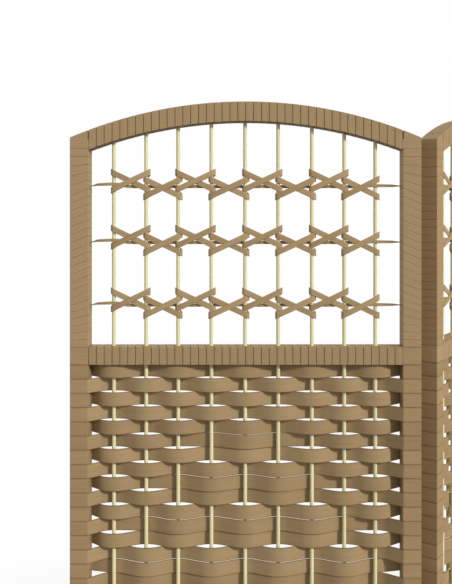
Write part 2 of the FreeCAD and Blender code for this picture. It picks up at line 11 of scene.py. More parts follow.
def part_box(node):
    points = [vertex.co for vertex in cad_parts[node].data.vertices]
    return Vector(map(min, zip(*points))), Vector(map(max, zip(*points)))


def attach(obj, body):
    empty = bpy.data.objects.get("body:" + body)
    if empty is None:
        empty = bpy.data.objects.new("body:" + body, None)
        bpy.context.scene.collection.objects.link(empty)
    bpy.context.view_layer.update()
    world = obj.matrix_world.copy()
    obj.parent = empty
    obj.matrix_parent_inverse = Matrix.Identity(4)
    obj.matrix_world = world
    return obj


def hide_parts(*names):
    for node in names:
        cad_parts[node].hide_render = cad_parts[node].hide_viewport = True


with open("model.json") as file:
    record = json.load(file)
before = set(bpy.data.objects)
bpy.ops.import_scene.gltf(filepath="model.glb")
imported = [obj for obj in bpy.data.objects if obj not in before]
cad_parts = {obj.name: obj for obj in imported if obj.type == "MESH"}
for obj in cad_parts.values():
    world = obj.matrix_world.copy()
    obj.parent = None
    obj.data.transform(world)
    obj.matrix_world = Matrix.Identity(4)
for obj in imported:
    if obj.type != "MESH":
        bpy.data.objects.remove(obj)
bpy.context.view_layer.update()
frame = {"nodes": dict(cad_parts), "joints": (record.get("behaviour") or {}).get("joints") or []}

# Sizes in metres, in a panel's own frame: X along the panel, front towards -Y, Z up from the floor
PANELS = ("left", "middle", "right")
PANEL_SEED = 100
HALF_WIDTH = 0.225
CORE_HALF = 0.010
TAPE_THICKNESS = 0.0016
TAPE_FIT = 0.0002
FRAME_HALF = CORE_HALF + TAPE_FIT + TAPE_THICKNESS
CORE_FACE = FRAME_HALF - TAPE_THICKNESS
TAPE_MIDDLE = FRAME_HALF - TAPE_THICKNESS / 2
STILE_X = HALF_WIDTH - FRAME_HALF

# Tapes: folds round corners, seams between turns, eased edges and cut tips
CORNERS = (1, -1), (-1, -1), (-1, 1), (1, 1)
CORNER_EASE = 0.0005
FOLD_EASE = 0.0001
ROUND_SHARE = 1 - math.sqrt(0.5)
RAIL_SEAM = 0.0005
STILE_SEAM = 0.00012
TAPE_EDGE = 0.0002
BAND_EDGE = 0.00035
STILE_EDGE = 0.00015
TAPE_TIP_WIDTH = 0.0005
GRAIN_START_SPREAD = 40

# Rails, arch and the tapes wound on them and on the stiles
BINDING_END = STILE_X - FRAME_HALF - RAIL_SEAM
RAIL_HEIGHT = 0.0227
ARCH_HEIGHT = 0.0252
ARCH_RISE = 0.0462
ARCH_RADIUS = (HALF_WIDTH**2 + ARCH_RISE**2) / (2 * ARCH_RISE)
RAIL_TAPE_PITCH = 0.010
STILE_TAPE_PITCH = 0.0102
RAIL_STEP_SHARES = (-0.5, 0.0, 0.0, 0.5)
STILE_LEAN_SHARE = 0.91
STILE_LEAN_TURNS = 7, 4

# Plain corners where the arch meets the stiles
CAP_RISE = 0.0012
CAP_OPENING = 0.0009
CAP_OPENING_SHARE = 0.48
CAP_ARCH_POINTS = 8
CAP_NARROW_FACE = 7 * RAIL_SEAM * FRAME_HALF
CAP_EDGE_ANGLE = 0.5
CAP_TOP_NORMAL = 0.7

# Round uprights
UPRIGHT_COUNT = 9
UPRIGHT_RADIUS = 0.0025
UPRIGHT_THIN_SHARE = 0.975
UPRIGHT_SIDES = 16
UPRIGHT_LENGTHS = 40
UPRIGHT_SOCKET = 0.0124
UPRIGHT_SHIFT_SHARES = (0.0, -0.02, -0.05, -0.042, -0.018, -0.015, 0.008, -0.01, -0.068)
BAY = 2 * STILE_X / (UPRIGHT_COUNT + 1)

# Woven bands and their diamond motif
ROW_COUNT = 77
ROW_PITCH = 0.0182
ROW_GAP = 0.0004
ROW_SEAM = 0.00002
WAVE_DEPTH = 0.0060
BAND_FLAT = 0.0096
BAND_BEND = 0.036
STILE_BEND = 0.004
FIRST_BEND = 0.030
BEND_STEP = 0.13
BEND_LEAST_STEPS = 3
STRAIGHT_SHIFT = 0.0002
PLAIN_ROWS = 4
MOTIF_REACH = 3
MOTIF_STEP_ROWS = 3
MOTIF_SPACE_ROWS = 3
MOTIF_FORWARD = 0.0018

# Crossed lattice tapes
LATTICE_ROW_SHARES = (0.189, 0.469, 0.719)
LATTICE_RISE = 0.0240
LATTICE_STAGGER = 0.0087
LATTICE_TAPE_HEIGHT = 0.0080
LATTICE_LIFT = 0.0004
LATTICE_TAPE_THICKNESS = 0.0012
LATTICE_FIT = 0.0002
LATTICE_CROSS_GAP = 0.0003
LATTICE_EDGE = 0.00025
LOOP_STEPS = 16
LOOP_RADIUS = UPRIGHT_RADIUS + LATTICE_FIT + LATTICE_TAPE_THICKNESS / 2
LOOP_SLACK = 0.0018
BOW_STEPS = 8
BOW_FULLNESS = 0.6
BOW_LEAN_SHARE = 0.25

# The flat tape, or spine, of each lattice row
SPINE_HEIGHT = 0.0040
SPINE_THICKNESS = 0.0010
SPINE_TIP_HEIGHT = 0.0008
SPINE_TIP_GAP = 0.0005
SPINE_TIP_DROP = 0.0015
SPINE_TIP_TURN = math.radians(-70)
SPINE_SHOULDER_TURN = math.radians(-20)
SPINE_SHOULDER_HEIGHT = 0.0036
SPINE_SHOULDER_SHARE = 0.45
SPINE_SHOULDER_DROP_SHARE = 0.2
SPINE_DROP = 0.0022
SPINE_LIFT = 0.0010
SPINE_BOW = 0.0015
SPINE_STRAIGHT = 2.5 * UPRIGHT_RADIUS
SPINE_BEND_STEPS = 6

# Hinges and their screws, and the eased edges of metal and plastic
HINGE_HEIGHT = 0.060
HINGE_COUNT = 3
LEAF_THICKNESS = 0.0012
LEAF_FIT = 0.0001
LEAF_FACE = FRAME_HALF + LEAF_FIT + LEAF_THICKNESS
SCREW_HEIGHT_SHARES = (0.17, 0.5, 0.83)
SCREW_LENGTH = 0.013
SCREW_TAPER = 0.004
SCREW_RADIUS = 0.0015
SCREW_TIP_RADIUS = SCREW_RADIUS / 5
SCREW_HEAD_RADIUS = 0.0028
SCREW_RIM_EASE = 0.0001
SCREW_EDGE_ANGLE = math.radians(30)
RECESS_ARM = 0.0016
RECESS_HALF_WIDTH = 0.0004
RECESS_DEPTH = 0.0008
RECESS_FLOOR_SHARE = 0.7
HINGE_EASE = 0.0002
GLIDE_EASE = 0.0008
EASED_EDGE_ANGLE = math.radians(50)
PLAIN_FACE_ANGLE = math.radians(1)
JOINED_REACH = 0.00001

# Levels and places read from the fixed frame
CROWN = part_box("left_arch_binding")[1].z
BOTTOM_RAIL_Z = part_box("left_bottom_rail_binding")[0].z
MID_RAIL_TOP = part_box("left_mid_rail_binding")[1].z
WEAVE_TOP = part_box("left_woven_bands")[1].z + ROW_GAP / 2
LEG_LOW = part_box("left_stile_bindings")[0].z
LATTICE_HEIGHT = CROWN - ARCH_HEIGHT - MID_RAIL_TOP
FOLD = -math.radians(frame["joints"][0]["range_deg"][0])


def panel_place(panel):
    """Where a panel stands at rest."""
    low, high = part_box(f"{panel}_woven_bands")
    turn = Matrix.Rotation(FOLD if panel == "middle" else 0, 4, "Z")
    middle = (low + high) / 2
    return Matrix.Translation((middle.x, middle.y, 0)) @ turn


def upright_x(post):
    """Place of a post: 0 is the left stile, then the uprights, then the right stile."""
    shift = UPRIGHT_SHIFT_SHARES[post - 1] if 0 < post <= UPRIGHT_COUNT else 0
    return (post + shift) * BAY - STILE_X


def arch_top(x):
    """Height of the arch's outer line."""
    return CROWN - ARCH_RADIUS + math.sqrt(ARCH_RADIUS**2 - x**2)


def flat_section(half_width, half_thickness, edge):
    """Section of a flat tape with eased edges, in shares of its half width and half thickness."""
    a = 1 - edge / half_width
    t = 1 - edge / half_thickness
    return [(-1, -t), (-1, t), (-a, 1), (a, 1), (1, t), (1, -t), (a, -1), (-a, -1)]


def round_section(sides):
    """Section of a round rod."""
    turns = [2 * math.pi * i / sides for i in range(sides)]
    return [(math.cos(t), math.sin(t)) for t in turns]


class Strands:
    """Tapes or rods that share one mesh. Each is swept through its stations."""

    def __init__(self):
        self.points, self.faces, self.grain, self.marks = [], [], [], []
        self.count = 0

    def add(self, stations, section, chance):
        """Adds one strand. A station is its middle, half width and half thickness, as vectors."""
        tint, start = chance.random(), chance.uniform(0, GRAIN_START_SPREAD)
        middle, across, out = (np.array(part, float) for part in zip(*stations))
        ring = np.array(section, float)
        n, k = len(middle), len(ring)
        points = middle[:, None] + ring[None, :, :1] * across[:, None]
        points = points + ring[None, :, 1:] * out[:, None]
        lengths = np.linalg.norm(np.diff(middle, axis=0), axis=1)
        along = start + np.concatenate([[0.0], np.cumsum(lengths)])
        widest, thickest = (np.linalg.norm(part, axis=1).max() for part in (across, out))
        side = ring[:, 0] * widest + np.abs(ring[:, 1] - 1) * thickest
        base = self.count
        for i in range(n - 1):
            for j in range(k):
                m = (j + 1) % k
                a, b = base + i * k, base + (i + 1) * k
                self.faces.append((a + j, a + m, b + m, b + j))
                self.grain += [(along[i], side[j]), (along[i], side[m])]
                self.grain += [(along[i + 1], side[m]), (along[i + 1], side[j])]
        for i, order in ((0, range(k - 1, -1, -1)), (n - 1, range(k))):
            self.faces.append([base + i * k + j for j in order])
            self.grain += [(along[i], side[j]) for j in order]
        self.points.append(points.reshape(-1, 3))
        marks = np.zeros((n * k, 4))
        marks[:, 0] = tint
        # the share across each strand, which places the painted shade at its edges
        marks[:, 1] = np.tile((ring[:, 0] + 1) / 2, n)
        marks[:, 3] = 1
        self.marks.append(marks)
        self.count += n * k

    def mesh(self, name):
        """The finished mesh, with the length and width of each strand as its grain map."""
        mesh = bpy.data.meshes.new(name)
        mesh.from_pydata(np.concatenate(self.points).tolist(), [], self.faces)
        grain = mesh.uv_layers.new(name="grain")
        grain.data.foreach_set("uv", np.array(self.grain, np.float32).ravel())
        marks = mesh.color_attributes.new("marks", "FLOAT_COLOR", "POINT")
        marks.data.foreach_set("color", np.concatenate(self.marks).astype(np.float32).ravel())
        return smooth(mesh)


def smooth(mesh):
    """Turns all faces outwards and shades them smooth."""
    shape = bmesh.new()
    shape.from_mesh(mesh)
    bmesh.ops.recalc_face_normals(shape, faces=shape.faces)
    shape.to_mesh(mesh)
    shape.free()
    mesh.polygons.foreach_set("use_smooth", [True] * len(mesh.polygons))
    return mesh


def corner_fold(outer, inner, enter, leave):
    """Outer and inner points of a tape folded round a square corner, with a slightly eased edge."""
    cut = (enter - leave) * ROUND_SHARE
    return [
        (outer - enter * CORNER_EASE, inner - enter * FOLD_EASE),
        (outer - cut * CORNER_EASE, inner - cut * FOLD_EASE),
        (outer + leave * CORNER_EASE, inner + leave * FOLD_EASE),
    ]


def plan_stations(pairs, z, half_height):
    """Stations of a tape that stands upright on outer and inner points in plan."""
    stations = []
    for outer, inner in pairs:
        middle, out = (outer + inner) / 2, (outer - inner) / 2
        stations.append(((*middle, z), (0, 0, half_height), (*out, 0)))
    return stations


def route(start, moves):
    """Points and headings in plan along straight runs (length, 0) and bends (radius, angle)."""
    x, y = start
    heading = 0
    stops = [(x, y, heading)]
    for size, angle in moves:
        if angle == 0:
            x, y = x + math.cos(heading) * size, y + math.sin(heading) * size
            stops.append((x, y, heading))
            continue
        sign = math.copysign(1, angle)
        middle_x = x - math.sin(heading) * sign * size
        middle_y = y + math.cos(heading) * sign * size
        count = max(BEND_LEAST_STEPS, math.ceil(abs(angle) / BEND_STEP))
        for i in range(1, count + 1):
            out = heading + angle * i / count - sign * math.pi / 2
            x, y = middle_x + math.cos(out) * size, middle_y + math.sin(out) * size
            stops.append((x, y, heading + angle * i / count))
        heading += angle
    return stops


def s_bend(run, shift, first, last):
    """A first and a last arc with a straight run between, which carry a band across by shift."""
    if abs(shift) < STRAIGHT_SHIFT:
        return [(run, 0)]
    widest = run / math.sin(2 * math.atan2(abs(shift), run))
    fit = min(1, widest / (first + last))
    both = (first + last) * fit
    rest = both - abs(shift)
    angle = math.asin(min(both / math.hypot(run, rest), 1)) - math.atan2(rest, run)
    length = (run - both * math.sin(angle)) / math.cos(angle)
    angle = math.copysign(angle, shift)
    return [(first * fit, angle), (length, 0), (last * fit, -angle)]


def in_motif(row, post):
    """Whether the motif turns a band to the other side of a post."""
    steps = 2 * MOTIF_REACH + 1
    place = (row - PLAIN_ROWS) % (steps * MOTIF_STEP_ROWS + MOTIF_SPACE_ROWS)
    step, line = divmod(place, MOTIF_STEP_ROWS)
    turned_row = row >= PLAIN_ROWS and step < steps and line == MOTIF_STEP_ROWS // 2
    reach = MOTIF_REACH - abs(step - MOTIF_REACH) + 1
    centre = (UPRIGHT_COUNT + 1) // 2
    return turned_row and abs(post - centre) <= reach


def band_side(row, post):
    """Side on which a band passes a post: 1 is behind it, -1 is in front of it."""
    side = 1 if (row + post) % 2 == 0 else -1
    return -side if in_motif(row, post) else side


def stile_wrap(side):
    """A band's turn round the left stile, as outer and inner points. It leaves on the given side."""
    centre = Vector((-STILE_X, 0))
    tail = side * CORE_HALF
    pairs = [(Vector((FRAME_HALF, tail)), Vector((CORE_FACE, tail)))]
    enter = Vector((0, -side))
    for x, y in ((1, -side), (-1, -side), (-1, side)):
        corner = Vector((x, y))
        leave = Vector((enter.y, -enter.x)) * side
        pairs += corner_fold(corner * FRAME_HALF, corner * CORE_FACE, enter, leave)
        enter = leave
    return [(centre + outer, centre + inner) for outer, inner in pairs]


def band_plan(row):
    """One woven band in plan, from its tail on one stile to its tail on the other."""
    sides = [band_side(row, post) for post in range(UPRIGHT_COUNT + 2)]
    hand = sides[0]
    depths = [side * WAVE_DEPTH for side in sides]
    depths[0] = depths[-1] = hand * TAPE_MIDDLE
    for post in range(1, UPRIGHT_COUNT + 1):
        depths[post] -= MOTIF_FORWARD if in_motif(row, post) else 0
    moves = []
    for post in range(UPRIGHT_COUNT + 1):
        run = upright_x(post + 1) - upright_x(post)
        bends = BAND_BEND, BAND_BEND
        if post in (0, UPRIGHT_COUNT):
            run -= BAND_FLAT
            bends = (STILE_BEND, FIRST_BEND) if post == 0 else (FIRST_BEND, STILE_BEND)
        moves += s_bend(run, depths[post + 1] - depths[post], *bends)
    wrap = stile_wrap(hand)
    pairs = list(wrap)
    for x, y, heading in route((BAND_FLAT - STILE_X, depths[0]), moves):
        out = Vector((-math.sin(heading), math.cos(heading))) * (hand * TAPE_THICKNESS / 2)
        pairs.append((Vector((x, y)) + out, Vector((x, y)) - out))
    return pairs + [tuple(Vector((-p.x, p.y)) for p in pair) for pair in reversed(wrap)]


def woven_bands(chance):
    """All bands of a panel, from the top row down."""
    strands = Strands()
    half_height = (ROW_PITCH - ROW_SEAM) / 2
    section = flat_section(half_height, TAPE_THICKNESS / 2, BAND_EDGE)
    for row in range(ROW_COUNT):
        z = WEAVE_TOP - (row + 0.5) * ROW_PITCH
        strands.add(plan_stations(band_plan(row), z, half_height), section, chance)
    return strands


def rail_step(turn, corner, turns):
    """Place of a rail tape's edge at a corner, in turns: level on front and back, slanted between."""
    return turn + RAIL_STEP_SHARES[corner]


def stile_step(turn, corner, turns):
    """Place of a stile tape's edge at a corner, in turns: slanted in front, level near both ends."""
    lean = min(turn / STILE_LEAN_TURNS[0], (turns - 1 - turn) / STILE_LEAN_TURNS[1], 1)
    on_outer_side = corner < 2
    return turn - STILE_LEAN_SHARE * max(lean, 0) * on_outer_side


def wound_stops(low, high, pitch, seam, step):
    """Where a winding passes the corners of its core: corner, part of the way to the next, both edges.

    The tape is cut level at both ends, so it starts and ends in a narrow tip between two corners."""
    turns = round((high - low + seam) / pitch)
    pitch = (high - low + seam) / turns

    def edges(i):
        turn, corner = divmod(i, 4)
        first, following = (low + pitch * step(turn + k, corner, turns) for k in (0, 1))
        return max(first, low), min(following - seam, high)

    stops = []
    for i in range(-4, 4 * turns + 4):
        here, there = edges(i), edges(i + 1)
        room, next_room = (last - first - TAPE_TIP_WIDTH for first, last in (here, there))
        if room >= 0:
            stops.append((i, 0, *here))
        if room * next_room < 0:
            part = room / (room - next_room)
            stops.append((i, part, *(a + (b - a) * part for a, b in zip(here, there))))
    return stops, pitch - seam


def wound_tape(strands, chance, span, pitch, seam, edge, step, halves, place):
    """An unbroken tape wound round a core. The step says how far it has come at each corner."""
    stops, width = wound_stops(*span, pitch, seam, step)
    outer_corners = [Vector((p * halves[0], q * halves[1])) for p, q in CORNERS]
    inset = 1 - TAPE_THICKNESS / halves[0], 1 - TAPE_THICKNESS / halves[1]
    inner_corners = [Vector((c.x * inset[0], c.y * inset[1])) for c in outer_corners]
    stations = []
    for i, part, first, last in stops:
        before, here, after = (outer_corners[(i + k) % 4] for k in (-1, 0, 1))
        inner = inner_corners[i % 4]
        if part == 0:
            pairs = corner_fold(here, inner, (here - before).normalized(), (after - here).normalized())
        else:
            pairs = [(here.lerp(after, part), inner.lerp(inner_corners[(i + 1) % 4], part))]
        for outer_point, inner_point in pairs:
            a, b = (place(at, *outer_point) for at in (first, last))
            c, d = (place(at, *inner_point) for at in (first, last))
            stations.append(((a + b + c + d) / 4, (b - a + d - c) / 4, (a + b - c - d) / 4))
    strands.add(stations, flat_section(width / 2, TAPE_THICKNESS / 2, edge), chance)


def rail_winding(chance, place, height):
    """The tape wound on a rail."""
    strands = Strands()
    wound_tape(
        strands, chance, (-BINDING_END, BINDING_END), RAIL_TAPE_PITCH, RAIL_SEAM, TAPE_EDGE,
        rail_step, (FRAME_HALF, height / 2), place,
    )
    return strands


def arch_winding(chance):
    """The tape wound on the arched rail."""
    middle = ARCH_HEIGHT / 2
    return rail_winding(
        chance, lambda a, p, q: Vector((-a, p, arch_top(a) - middle + q)), ARCH_HEIGHT
    )


def straight_winding(low):
    """Makes the tape wound on a straight rail."""
    middle = low + RAIL_HEIGHT / 2
    return lambda chance: rail_winding(
        chance, lambda a, p, q: Vector((-a, p, middle + q)), RAIL_HEIGHT
    )


def corner_low():
    """Level at which the plain corner starts on the stile, just above the arch's underside."""
    return arch_top(BINDING_END) - ARCH_HEIGHT + CAP_RISE


def stile_windings(chance):
    """The tapes wound on the upper stiles and on the legs."""
    strands = Strands()
    for span in ((MID_RAIL_TOP, corner_low()), (LEG_LOW, BOTTOM_RAIL_Z)):
        for hand in (1, -1):
            wound_tape(
                strands, chance, span, STILE_TAPE_PITCH, STILE_SEAM, STILE_EDGE, stile_step,
                (FRAME_HALF, FRAME_HALF), lambda a, p, q: Vector((hand * (q - STILE_X), p, a)),
            )
    return strands


def rail_end_tapes(chance):
    """Short tapes round the front, outer side and back of the stiles beside each straight rail."""
    strands = Strands()
    half_height = (RAIL_HEIGHT - 2 * STILE_SEAM) / 2
    section = flat_section(half_height, TAPE_THICKNESS / 2, TAPE_EDGE)
    for low in (BOTTOM_RAIL_Z, WEAVE_TOP):
        for hand in (1, -1):
            # the right end of the rail is covered, and the left end shows its seam
            reach = FRAME_HALF if hand > 0 else FRAME_HALF + RAIL_SEAM - STILE_SEAM
            pairs = [(Vector((reach, FRAME_HALF)), Vector((reach, CORE_FACE)))]
            enter = Vector((-1, 0))
            for y, leave in ((1, Vector((0, -1))), (-1, Vector((1, 0)))):
                corner = Vector((-1, y))
                pairs += corner_fold(corner * FRAME_HALF, corner * CORE_FACE, enter, leave)
                enter = leave
            pairs.append((Vector((reach, -FRAME_HALF)), Vector((reach, -CORE_FACE))))
            placed = [tuple(Vector((hand * (p.x - STILE_X), p.y)) for p in pair) for pair in pairs]
            strands.add(plan_stations(placed, low + RAIL_HEIGHT / 2, half_height), section, chance)
    return strands


def uprights(chance):
    """The round uprights."""
    strands = Strands()
    section = round_section(UPRIGHT_SIDES)
    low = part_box("left_uprights")[0].z
    for post in range(1, UPRIGHT_COUNT + 1):
        x = upright_x(post)
        top = arch_top(abs(x) + UPRIGHT_RADIUS) - ARCH_HEIGHT + UPRIGHT_SOCKET
        stations = []
        for i in range(UPRIGHT_LENGTHS + 1):
            radius = UPRIGHT_RADIUS * chance.uniform(UPRIGHT_THIN_SHARE, 1.0)
            z = low + (top - low) * i / UPRIGHT_LENGTHS
            stations.append(((x, 0, z), (radius, 0, 0), (0, radius, 0)))
        strands.add(stations, section, chance)
    return strands


def strip_line(level, post, rising):
    """Height of a strip in the bay right of a post: a straight line from turn to turn."""
    middle = LATTICE_STAGGER / 2 if post % 2 == 1 else -LATTICE_STAGGER / 2
    left = upright_x(post) - LOOP_RADIUS
    right = upright_x(post + 1) + LOOP_RADIUS + LOOP_SLACK
    slope = (LATTICE_RISE if rising else -LATTICE_RISE) / (right - left)
    return lambda x: level + LATTICE_LIFT + middle + slope * (x - (left + right) / 2)


def strip_turn(post, first, last, line_in, line_out):
    """Stations round an upright. The strip follows its lines in front and shifts up or down behind."""
    x = upright_x(post)
    right, left = LOOP_STEPS // 4, 3 * LOOP_STEPS // 4
    stations = []
    for i in range(first, last + 1):
        angle = 2 * math.pi * i / LOOP_STEPS - math.pi / 2
        part = min(max((i - right) / (left - right), 0), 1)
        out = Vector((math.cos(angle), math.sin(angle), 0))
        middle = Vector((x + LOOP_SLACK * max(out.x, 0), 0, 0)) + out * LOOP_RADIUS
        arriving = line_in(middle.x if i < right else x + LOOP_SLACK + LOOP_RADIUS)
        leaving = line_out(middle.x if i > left else x - LOOP_RADIUS)
        middle.z = arriving + (leaving - arriving) * part
        out *= LATTICE_TAPE_THICKNESS / 2
        stations.append((middle, (0, 0, LATTICE_TAPE_HEIGHT / 2), out))
    return stations


def strip_run(post, line, rising):
    """Stations between two uprights. A rising strip bows out over the falling one."""
    cross = LATTICE_TAPE_THICKNESS + LATTICE_CROSS_GAP if rising else 0
    x, run = upright_x(post), upright_x(post + 1) - upright_x(post)
    stations = []
    for i in range(1, BOW_STEPS):
        part = i / BOW_STEPS
        bow = cross * math.sin(math.pi * part) ** BOW_FULLNESS
        slope = -math.atan2(cross * math.cos(math.pi * part), run * BOW_LEAN_SHARE)
        place = (x + run * part, -LOOP_RADIUS - bow, line(x + run * part))
        out = Vector((math.sin(slope), -math.cos(slope), 0)) * (LATTICE_TAPE_THICKNESS / 2)
        stations.append((place, (0, 0, LATTICE_TAPE_HEIGHT / 2), out))
    return stations


def crossed_tape(level, rises_first):
    """One crossed tape. It climbs and falls from bay to bay, with a full turn round each upright."""
    directions = {post: (post % 2 == 1) == rises_first for post in range(1, UPRIGHT_COUNT)}
    lines = {post: strip_line(level, post, rising) for post, rising in directions.items()}
    stations = strip_turn(1, LOOP_STEPS // 2, LOOP_STEPS, lines[1], lines[1])
    for post, rising in directions.items():
        stations += strip_run(post, lines[post], rising)
        if post + 1 < UPRIGHT_COUNT:
            stations += strip_turn(post + 1, 0, LOOP_STEPS, lines[post], lines[post + 1])
    last = lines[UPRIGHT_COUNT - 1]
    return stations + strip_turn(UPRIGHT_COUNT, 0, LOOP_STEPS // 2, last, last)


def eased(part):
    """A share that starts and ends gently."""
    return part * part * (3 - 2 * part)


def spine_knots(level):
    """Turning points of a flat tape: place, height and lean, from tip to tip."""
    depth = UPRIGHT_RADIUS + LATTICE_FIT + SPINE_THICKNESS / 2
    tip = STILE_X - FRAME_HALF - SPINE_TIP_GAP
    end_levels = {1: level + SPINE_LIFT, UPRIGHT_COUNT: level - SPINE_DROP / 2}
    knots = []
    for post in range(1, UPRIGHT_COUNT + 1):
        y = -depth if post in end_levels else depth
        z = end_levels.get(post, level - SPINE_DROP)
        for side in (-UPRIGHT_RADIUS, UPRIGHT_RADIUS):
            knots.append((upright_x(post) + side, y, z, SPINE_HEIGHT, 0))
        if post < UPRIGHT_COUNT:
            bay_middle = (upright_x(post) + upright_x(post + 1)) / 2
            knots.append((bay_middle, -SPINE_BOW, level - SPINE_DROP, SPINE_HEIGHT, 0))
    ends = []
    for side, near in ((-1, knots[0]), (1, knots[-1])):
        shoulder_x = side * tip + (near[0] - side * tip) * SPINE_SHOULDER_SHARE
        shoulder_z = near[2] + (level - SPINE_TIP_DROP - near[2]) * SPINE_SHOULDER_DROP_SHARE
        ends.append((shoulder_x, -depth, shoulder_z, SPINE_SHOULDER_HEIGHT, SPINE_SHOULDER_TURN))
        ends.append((side * tip, -depth, level - SPINE_TIP_DROP, SPINE_TIP_HEIGHT, SPINE_TIP_TURN))
    return [ends[1], ends[0]] + knots + ends[2:]


def spine_tape(level):
    """The flat tape of a lattice row: before the end uprights, behind the others, with twisted tips."""
    knots = spine_knots(level)
    stations = []
    for near, far in zip(knots, knots[1:]):
        count = SPINE_BEND_STEPS if far[0] - near[0] > SPINE_STRAIGHT else 1
        for i in range(count):
            ease = eased(i / count)
            x = near[0] + (far[0] - near[0]) * i / count
            y, z, height, lean = (a + (b - a) * ease for a, b in zip(near[1:], far[1:]))
            stations.append(spine_station(x, y, z, height, lean))
    stations.append(spine_station(*knots[-1]))
    return stations


def spine_station(x, y, z, height, lean):
    """A station of the flat tape, turned on its length by lean."""
    up = Vector((0, math.sin(lean), math.cos(lean))) * (height / 2)
    out = Vector((0, math.cos(lean), -math.sin(lean))) * (SPINE_THICKNESS / 2)
    return (x, y, z), up, out


def lattice_tapes(chance):
    """Three rows of crossed tapes, each with its spine."""
    strands = Strands()
    crossed = flat_section(LATTICE_TAPE_HEIGHT / 2, LATTICE_TAPE_THICKNESS / 2, LATTICE_EDGE)
    flat = flat_section(SPINE_HEIGHT / 2, SPINE_THICKNESS / 2, LATTICE_EDGE)
    for share in LATTICE_ROW_SHARES:
        level = MID_RAIL_TOP + share * LATTICE_HEIGHT
        strands.add(crossed_tape(level, True), crossed, chance)
        strands.add(crossed_tape(level, False), crossed, chance)
        strands.add(spine_tape(level), flat, chance)
    return strands


def cap_outline():
    """Front of the left corner cap. Its edge towards the arch is open above and closed below."""
    inner = FRAME_HALF - STILE_X
    opened, closed = inner - CAP_OPENING, inner + RAIL_SEAM - STILE_SEAM
    shares = [i / CAP_ARCH_POINTS for i in range(CAP_ARCH_POINTS + 1)]
    xs = [-HALF_WIDTH + (opened + HALF_WIDTH) * share for share in shares]
    middle = arch_top(closed) - ARCH_HEIGHT * CAP_OPENING_SHARE
    steps = [(opened, middle), (closed, middle), (closed, corner_low())]
    return [(-HALF_WIDTH, corner_low())] + [(x, arch_top(x)) for x in xs] + steps


def corner_caps(chance):
    """Plain wrapped corners over the heads of the stiles."""
    shape = bmesh.new()
    for hand in (1, -1):
        outline = cap_outline()
        front = [shape.verts.new((hand * x, -FRAME_HALF, z)) for x, z in outline]
        back = [shape.verts.new((hand * x, FRAME_HALF, z)) for x, z in outline]
        shape.faces.new(front)
        shape.faces.new(back)
        for i in range(len(outline)):
            j = (i + 1) % len(outline)
            shape.faces.new((front[i], front[j], back[j], back[i]))
    bmesh.ops.recalc_face_normals(shape, faces=shape.faces)
    eased_edges = []
    for edge in shape.edges:
        narrowest = min(face.calc_area() for face in edge.link_faces)
        if edge.calc_face_angle() > CAP_EDGE_ANGLE and narrowest > CAP_NARROW_FACE:
            eased_edges.append(edge)
    bmesh.ops.bevel(
        shape, geom=eased_edges, offset=CORNER_EASE, segments=2, profile=0.5, affect="EDGES"
    )
    grain = shape.loops.layers.uv.new("grain")
    for face in shape.faces:
        normal = face.normal
        for loop in face.loops:
            x, y, z = loop.vert.co
            if abs(normal.z) > CAP_TOP_NORMAL:
                loop[grain].uv = (y, x)
            else:
                loop[grain].uv = (x if abs(normal.y) > abs(normal.x) else y, z)
    mesh = bpy.data.meshes.new("corner_caps")
    shape.to_mesh(mesh)
    shape.free()
    marks = mesh.color_attributes.new("marks", "FLOAT_COLOR", "POINT")
    tint = chance.random()
    marks.data.foreach_set("color", [tint, 0.5, 0, 1] * len(mesh.vertices))
    mesh.polygons.foreach_set("use_smooth", [True] * len(mesh.polygons))
    return mesh


def screw_loops():
    """Loops of a countersunk screw, from its point over its head to the floor of its cross recess."""
    quarter_turn = ((1, 0), (0, 1), (-1, 0), (0, -1))
    arm, half = RECESS_ARM, RECESS_HALF_WIDTH
    arm_points = (arm, 0), (arm, half), (half, half), (half, arm)
    cross = [(u * c - v * s, u * s + v * c) for c, s in quarter_turn for u, v in arm_points]
    ring = round_section(len(cross))
    rounds = (
        (SCREW_LENGTH, SCREW_TIP_RADIUS),
        (SCREW_LENGTH - SCREW_TAPER, SCREW_RADIUS),
        (LEAF_THICKNESS, SCREW_RADIUS),
        (SCREW_RIM_EASE, SCREW_HEAD_RADIUS),
        (0, SCREW_HEAD_RADIUS - SCREW_RIM_EASE),
    )
    loops = [(depth, [(u * radius, v * radius) for u, v in ring]) for depth, radius in rounds]
    recess_floor = [(u * RECESS_FLOOR_SHARE, v * RECESS_FLOOR_SHARE) for u, v in cross]
    return loops + [(0, cross), (RECESS_DEPTH, recess_floor)]


def hinge_screws(node, hand, face):
    """The screws of one side of a hinge line. Hand 1 is the right stile, face 1 is the panel's back."""
    low, high = (corner.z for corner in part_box(node))
    step = (high - low - HINGE_HEIGHT) / (HINGE_COUNT - 1)
    shape = bmesh.new()
    for i in range(HINGE_COUNT):
        for share in SCREW_HEIGHT_SHARES:
            z = low + i * step + share * HINGE_HEIGHT
            rings = []
            for depth, points in screw_loops():
                y = face * (LEAF_FACE - depth)
                rings.append([shape.verts.new((hand * STILE_X + u, y, z + v)) for u, v in points])
            for near, far in zip(rings, rings[1:]):
                for j in range(len(near)):
                    k = (j + 1) % len(near)
                    shape.faces.new((near[j], near[k], far[k], far[j]))
            shape.faces.new(rings[0])
            shape.faces.new(rings[-1])
    mesh = bpy.data.meshes.new("hinge_screws")
    shape.to_mesh(mesh)
    shape.free()
    smooth(mesh)
    mesh.set_sharp_from_angle(angle=SCREW_EDGE_ANGLE)
    return mesh


